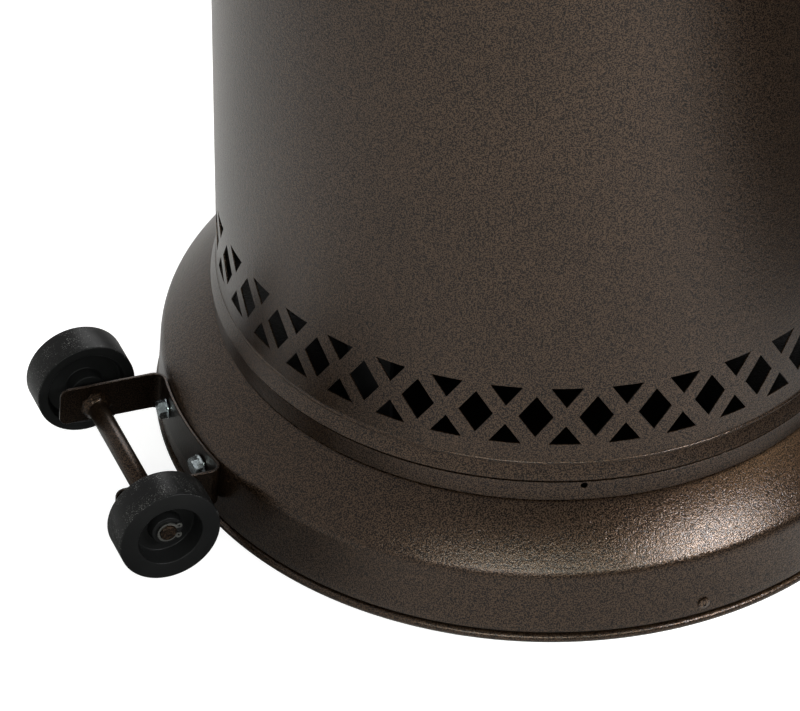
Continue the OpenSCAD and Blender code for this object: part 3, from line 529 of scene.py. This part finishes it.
def base_path():
    """The base shell's outer face from its foot to the middle of its deck."""
    draft = math.radians(WALL_DRAFT)
    foot_r = wall_r_at(WALL_FOOT_Z)
    shoulder = Vector((WALL_R, WALL_TOP_Z)) - SHOULDER_R * Vector((math.cos(draft), math.sin(draft)))
    start, end = (math.radians(a) for a in DOME_ARC)
    dome = shoulder + (SHOULDER_R - DOME_R) * Vector((math.cos(start), math.sin(start)))
    deck = dome + (DOME_R - DECK_ROUND_R) * Vector((math.cos(end), math.sin(end)))
    return ([(foot_r, WALL_FOOT_Z), (foot_r - 0.4, WALL_FOOT_Z + 6)]
            + arc(shoulder, SHOULDER_R, WALL_DRAFT, DOME_ARC[0], 16)
            + arc(dome, DOME_R, DOME_ARC[0] + 0.7, DOME_ARC[1], 20)
            + arc(deck, DECK_ROUND_R, DOME_ARC[1] + 4, 90, 8)
            + [(120, deck.y + DECK_ROUND_R), (0, deck.y + DECK_ROUND_R)])


def make_base():
    """The domed shell, and the floor pan with its rolled rim and lip."""
    bm = bmesh.new()
    lathe(bm, rounded(strip(base_path(), SHEET_T), 0.4), steps=288)
    piece("base_dome", bm, "base_bronze_deck_painted_shade", "stand", ["base_shell"])
    bm = bmesh.new()
    bead = (RIM_R - RIM_BEAD_R, RIM_BEAD_R)
    lathe(bm, arc(bead, RIM_BEAD_R, 0, 345, 23), steps=288)
    lip_r = WALL_R - 0.3
    lathe(bm, [(lip_r, 0.6), (lip_r, 20), (lip_r - SHEET_T, 20), (lip_r - SHEET_T, 0.6)], steps=288)
    lathe(bm, [(0, 0.02), (lip_r, 0.02), (lip_r, SHEET_T), (0, SHEET_T)], steps=288, closed=False)
    piece("base_floor_pan", bm, "hammered_bronze", "stand", ["base_pan"])


def outward(angle, radius, z, tilt=0.0):
    """A place that turns +Z outward at an angle round the heater, at a radius and height."""
    return (Matrix.Rotation(math.radians(angle), 4, "Z") @ Matrix.Translation((radius, 0, z))
            @ Matrix.Rotation(math.pi / 2 - math.radians(tilt), 4, "Y"))


# ---------------------------------------------------------------- bolts and screws

def hex_prism(bm, place, across, low, high, chamfer):
    """A six-sided head with the chamfered top that a turned hexagon has."""
    corner = across / 2 / math.cos(math.pi / 6)
    steps = 48
    rows = []
    for z, fall in ((low, 0), (high, chamfer)):
        ring = []
        for i in range(steps):
            angle = 2 * math.pi * i / steps
            wrapped = (angle + math.pi / 6) % (math.pi / 3) - math.pi / 6
            flat_r = across / 2 / math.cos(wrapped)
            drop = fall * (flat_r - across / 2) / (corner - across / 2)
            ring.append((flat_r, angle, z - drop))
        rows.append(ring)
    rows.append([(across / 2 * 0.95, 2 * math.pi * i / steps, high) for i in range(steps)])
    rings = [[bm.verts.new(place @ Vector((r * math.cos(a), r * math.sin(a), z))) for r, a, z in row]
             for row in rows]
    bridge(bm, rings)
    bm.faces.new(rings[-1])
    bm.faces.new(list(reversed(rings[0])))


def flanged_bolt(bm, place, across, head_h, flange_r, length):
    """A hexagon head on a round flange, with its shank."""
    hex_prism(bm, place, across, 0.6, head_h, 0.9)
    lathe(bm, [(0, 0), (flange_r - 0.2, 0), (flange_r, 0.2), (flange_r, 0.7), (flange_r - 0.3, 1.0),
               (across / 2, 1.75), (0, 1.75)], steps=48, closed=False, place=place)
    lathe(bm, [(0, -length), (2.5, -length), (3.0, 0.5 - length), (3.0, 0.3), (0, 0.3)],
          steps=32, closed=False, place=place)


def pan_head(bm, place, shank_r, head_r, head_h, length):
    """A low round head with a round recess in its top."""
    profile = [(0, -length), (shank_r * 0.8, -length), (shank_r, 0.4 - length), (shank_r, 0),
               (head_r - 0.1, 0), (head_r, 0.15), (head_r, head_h * 0.35)]
    profile += [(head_r * math.cos(a), head_h * (0.35 + 0.65 * math.sin(a)))
                for a in (0.35, 0.7, 1.05, 1.3)]
    profile += [(head_r * 0.2, head_h), (head_r * 0.12, head_h * 0.45), (0, head_h * 0.4)]
    lathe(bm, profile, steps=32, closed=False, place=place)


def make_bolts():
    """The two bolts of the wheel bracket and the three screws of the rim."""
    bm = bmesh.new()
    for y in BRACKET_BOLTS_Y:
        angle = 180 - math.degrees(math.asin(y / WEB_R))
        place = outward(angle, WEB_R + BRACKET_T + 0.05, BRACKET_Z, -WALL_DRAFT)
        flanged_bolt(bm, place @ Matrix.Rotation(0.35, 4, "Z"), across=10, head_h=6.2, flange_r=6.2,
                     length=12)
    piece("wheel_bracket_bolts", bm, "zinc", "stand", ["bracket_bolts"], sharp=30)
    bm = bmesh.new()
    for angle in RIM_SCREW_ANGLES:
        place = outward(angle, wall_r_at(RIM_SCREW_Z) + 0.02, RIM_SCREW_Z, -WALL_DRAFT)
        pan_head(bm, place, shank_r=1.9, head_r=3.7, head_h=1.8, length=6)
    piece("rim_screws", bm, "screw_bronze_painted_light", "stand", ["base_screws"], sharp=30)


# ---------------------------------------------------------------- wheel set

def wheel_profile():
    """Radius and distance from the heater's centre plane, from the bore round to the bore."""
    corners = [(5.08, 57.6), (11.0, 57.6), (11.0, 66.5), (22.5, 66.5), (24.2, 60.0),
               (WHEEL_R, 60.0), (WHEEL_R, 82.3), (19.4, 82.3), (18.2, 71.0), (9.8, 71.0),
               (9.1, 77.0), (5.08, 77.0)]
    return rounded(corners, 0.9, 4)


def make_wheels():
    """One moulded wheel on each end of the axle."""
    for name, side in (("left", 1), ("right", -1)):
        bm = bmesh.new()
        lathe(bm, wheel_profile(), steps=160, place=along_y(side, AXLE_X, AXLE_Z))
        piece("wheel_moulding_" + name, bm, "wheel_plastic", name + "_wheel", ["wheel_" + name], sharp=50)


def weld_bead(bm, place, reach, phase):
    """A rippled bead that narrows from the arm's inner face down to the bar."""
    steps = 56
    rings = []
    for k, (radius, back) in enumerate(((9.2, 0.0), (9.0, 0.8), (8.3, 1.9), (7.3, 3.1), (6.5, 4.3),
                                        (5.9, 4.6))):
        ring = []
        for i in range(steps):
            angle = 2 * math.pi * i / steps
            ripple = 0.32 * math.sin(9 * angle + k * 0.5) + 0.22 * math.sin(4 * angle + phase)
            bead_r = radius + ripple * (k < 4)
            ring.append(bm.verts.new(place @ Vector((bead_r * math.cos(angle), bead_r * math.sin(angle),
                                                     reach - back))))
        rings.append(ring)
    bridge(bm, rings)
    bm.faces.new(rings[0])
    bm.faces.new(rings[-1])


def make_axle():
    """The axle bar with its shoulders and clip grooves, and its two weld beads."""
    bm = bmesh.new()
    half = [(0, 0.0), (AXLE_R, 0.0), (AXLE_R, 57.0), (AXLE_R - 0.3, 57.3), (JOURNAL_R, 57.3),
            (JOURNAL_R, 77.2), (4.5, 77.2), (4.5, 78.5), (JOURNAL_R, 78.5), (JOURNAL_R, 79.1),
            (4.5, 79.6), (0, 79.6)]
    for side in (1, -1):
        lathe(bm, half, steps=64, closed=False, place=along_y(side, AXLE_X, AXLE_Z))
    for side, reach in BRACKET_ARMS:
        weld_bead(bm, along_y(side, AXLE_X, AXLE_Z), reach - BRACKET_T - 0.05, side)
    piece("welded_axle", bm, "axle_bronze_painted_shade", "stand", ["wheel_axle"], sharp=45)


def bracket_plan():
    """Plan view of the bracket's back face, from the far arm's end round to the near arm's."""
    points = []
    for side, reach in BRACKET_ARMS:
        turn = math.degrees(math.asin((reach - BEND_R) / (WEB_R + BEND_R)))
        middle = Vector((WEB_R, 0)) + (WEB_R + BEND_R) * Vector((-math.cos(math.radians(turn)),
                                                                math.sin(math.radians(turn))))
        bend = [(-60.7, reach)] + arc(tuple(middle), BEND_R, 90, -turn, 10)
        web = arc((WEB_R, 0), WEB_R, 180 - turn * 0.85, 180, 12)[:-1]
        half = [(x, side * y) for x, y in bend + web]
        points += half if side > 0 else [(0.0, 0.0)] + half[::-1]
    return points


def make_bracket():
    """The U-shaped strap with rounded arm ends, tilted with the drafted wall."""
    height, corner_r, rows = 25.2, 5.0, 24
    outline = strip(bracket_plan(), -BRACKET_T)
    levels = []
    for k in range(rows + 1):
        z = -height / 2 + height * k / rows
        over = max(0.0, abs(z) - (height / 2 - corner_r))
        levels.append((z, corner_r - math.sqrt(max(0.0, corner_r ** 2 - over ** 2))))
    bm = bmesh.new()
    place = (Matrix.Translation((-WEB_R, 0, BRACKET_Z))
             @ Matrix.Rotation(math.radians(WALL_DRAFT), 4, "Y"))
    rings = []
    for z, back in levels:
        ring = []
        for x, y in outline:
            if x < -55:
                x += back
            ring.append(bm.verts.new(place @ Vector((x, y, z))))
        rings.append(ring)
    bridge(bm, rings)
    count = len(outline)
    for ring in (rings[0], rings[-1]):
        for i in range(count // 2 - 1):
            bm.faces.new([ring[i], ring[i + 1], ring[count - 2 - i], ring[count - 1 - i]])
    obj = piece("wheel_bracket_strap", bm, "bracket_bronze_painted_shade", "stand", ["wheel_bracket"], sharp=40)
    soften(obj, 0.35, 30)


# ---------------------------------------------------------------- tank housing

def inside(ring, x, y):
    """Whether a point lies inside a closed outline."""
    odd = False
    for (ax, ay), (bx, by) in zip(ring, ring[1:] + ring[:1]):
        if (ay > y) != (by > y) and x < ax + (bx - ax) * (y - ay) / (by - ay):
            odd = not odd
    return odd


def punched(bm, cells, start, loop, holes, radius_at, columns, span):
    """Wraps a flat cell with holes round the heater. Cell points are (degrees, height)."""
    points, edges = [], []
    for ring in [loop] + holes:
        first = len(points)
        points += [Vector(p) for p in ring]
        edges += [(first + i, first + (i + 1) % len(ring)) for i in range(len(ring))]
    pitch = 360 / cells
    for i in range(1, columns):
        x = pitch * i / columns
        edges.append((len(points), len(points) + 1))
        points += [Vector((x, span[0])), Vector((x, span[1]))]
    verts, _, faces, *_ = delaunay_2d_cdt(points, edges, [], 0, 1e-5)
    kept = []
    for face in faces:
        x = sum(verts[i].x for i in face) / len(face)
        y = sum(verts[i].y for i in face) / len(face)
        if inside(loop, x, y) and not any(inside(hole, x, y) for hole in holes):
            kept.append(face)
    for k in range(cells):
        made = []
        for vert in verts:
            angle = math.radians(start + pitch * k + vert.x)
            radius = radius_at(vert.y)
            made.append(bm.verts.new((radius * math.cos(angle), radius * math.sin(angle), vert.y)))
        for face in kept:
            bm.faces.new([made[i] for i in face])


def shell_rings(bm, path, steps, start):
    """An open surface of revolution whose columns line up with a punched sheet's."""
    lathe(bm, path, steps=steps, closed=False, place=Matrix.Rotation(math.radians(start), 4, "Z"))


def sheet_piece(name, bm, look, body, nodes, thickness):
    """A welded open sheet, thickened inward."""
    bmesh.ops.remove_doubles(bm, verts=bm.verts, dist=0.02)
    loose = [v for v in bm.verts if not v.link_faces]
    bmesh.ops.delete(bm, geom=loose, context="VERTS")
    bmesh.ops.recalc_face_normals(bm, faces=bm.faces)
    if sum(f.normal.dot(f.calc_center_median() * Vector((1, 1, 0))) for f in bm.faces) < 0:
        bmesh.ops.reverse_faces(bm, faces=bm.faces)
    obj = piece(name, bm, look, body, nodes, sharp=45, solid=False)
    sheet = obj.modifiers.new("sheet", "SOLIDIFY")
    sheet.thickness = thickness * MM
    sheet.offset = -1
    return obj


def soften(obj, width, least=60):
    """Rounds the edges a little and keeps the broad faces evenly shaded."""
    bevel = obj.modifiers.new("edges", "BEVEL")
    bevel.width = width * MM
    bevel.segments = 2
    bevel.limit_method = "ANGLE"
    bevel.angle_limit = math.radians(least)
    normals = obj.modifiers.new("normals", "WEIGHTED_NORMAL")
    normals.weight = 100
    normals.keep_sharp = True


def make_housing():
    """The vented cylinder: a lattice of diamonds and triangles between a skirt and a wall."""
    pitch = 360 / VENT_COUNT
    start = VENT_PHASE - pitch / 2
    degree = math.degrees(1 / HOUSING_R)
    mid, z, columns = pitch / 2, VENT_Z, 8
    low_z, high_z = BEAD_Z + 2.2, 172.0
    diamond_w, triangle_w = 9.8 * degree, 9.2 * degree
    diamond = rounded([(mid, z + 43.4), (mid + diamond_w, z + 57.8), (mid, z + 72.3),
                       (mid - diamond_w, z + 57.8)], 0.25, 2, least=10)
    # The triangles straddle the cell's borders, so each border carries half of two of them
    upper = [(0.0, z + 64.3), (triangle_w, z + 78.1), (0.0, z + 78.1)]
    lower = [(0.0, z + 38.3), (triangle_w, z + 38.3), (0.0, z + 51.6)]
    border = lower + upper
    loop = [(pitch * i / columns, low_z) for i in range(columns + 1)]
    loop += [(pitch - x, y) for x, y in border]
    loop += [(pitch - pitch * i / columns, high_z) for i in range(columns + 1)]
    loop += border[::-1]
    bm = bmesh.new()
    punched(bm, VENT_COUNT, start, loop, [diamond], lambda height: HOUSING_R, columns, (low_z, high_z))
    skirt = [(SKIRT_R, SKIRT_Z), (SKIRT_R - 0.9, SKIRT_Z + 3), (HOUSING_R + 0.75, BEAD_Z - 1.2)]
    skirt += arc((HOUSING_R, BEAD_Z), 0.9, -50, 60, 8) + [(HOUSING_R, low_z)]
    wall = [(HOUSING_R, height) for height in (high_z, 260, 380, 500, 600, HOUSING_TOP_Z)]
    for path in (skirt, wall):
        shell_rings(bm, path, VENT_COUNT * columns, start)
    obj = sheet_piece("vented_tank_housing", bm, "housing_bronze_inside_painted_shade", "housing", ["tank_housing"], HOUSING_T)
    soften(obj, 0.22)


def make_band():
    """The ring under the housing, with three drilled holes and a step hidden by the skirt."""
    band_r, step_z, recess_r = SKIRT_R - 1.4, 88.4, 192.0
    degree = math.degrees(1 / band_r)
    hole_z, hole_r, columns, start = 85.9, 2.0, 96, -107.3 - 60
    hole = [(60 + x * degree, hole_z + y) for x, y in arc((0, 0), hole_r, 0, 345, 23)]
    loop = [(120 * i / columns, BAND_BOTTOM_Z) for i in range(columns + 1)]
    loop += [(120 - 120 * i / columns, step_z) for i in range(columns + 1)]
    bm = bmesh.new()
    punched(bm, 3, start, loop, [hole], lambda height: band_r, columns, (BAND_BOTTOM_Z, step_z))
    inner_r = HOUSING_R - HOUSING_T - 0.15
    shell_rings(bm, [(band_r, step_z), (recess_r, step_z + 0.1), (recess_r, step_z + 3),
                     (inner_r, step_z + 7), (inner_r, BEAD_Z + 7)], 3 * columns, start)
    obj = sheet_piece("housing_foot_band", bm, "hammered_bronze", "housing", ["housing_band"], 0.8)
    soften(obj, 0.15)


def make_emitter():
    """The burner's perforated cone."""
    foot_z, top_z, foot_r, top_r = 1801.3, 2050.0, 98.0, 112.0
    cells, rows, hole_r = 60, 46, 2.2
    pitch = 360 / cells

    def radius_at(height):
        return foot_r + (top_r - foot_r) * (height - foot_z) / (top_z - foot_z)

    holes = []
    for row in range(rows):
        height = foot_z + 12 + (top_z - foot_z - 24) * row / (rows - 1)
        degree = math.degrees(1 / radius_at(height))
        middle = pitch * (0.25 if row % 2 else 0.75)
        holes.append([(middle + x * degree, height + y) for x, y in arc((0, 0), hole_r, 0, 300, 5)])
    loop = [(0, foot_z), (pitch / 2, foot_z), (pitch, foot_z),
            (pitch, top_z), (pitch / 2, top_z), (0, top_z)]
    bm = bmesh.new()
    punched(bm, cells, 0, loop, holes, radius_at, 2, (foot_z, top_z))
    obj = sheet_piece("perforated_emitter", bm, "stainless", "stand", ["emitter_screen"], 0.9)
    normals = obj.modifiers.new("normals", "WEIGHTED_NORMAL")
    normals.weight = 100


def make_stage_and_lights():
    make_camera()
    make_sky()
    make_stage()
    make_lights()
    SCENE.view_settings.view_transform = "Standard"


def dress_cad_nodes():
    """Gives every CAD node the look of its material slot, and the circlips a darker one."""
    for entry in frame["record"]["subparts"]:
        mesh = NODES[entry["node"]].data
        mesh.materials.clear()
        spring = entry["node"] == "axle_circlips"
        mesh.materials.append(LOOKS["spring_steel" if spring else entry["material_slot"]])


make_stage_and_lights()
dress_cad_nodes()
make_base()
make_bolts()
make_wheels()
make_axle()
make_bracket()
make_housing()
make_band()
make_emitter()
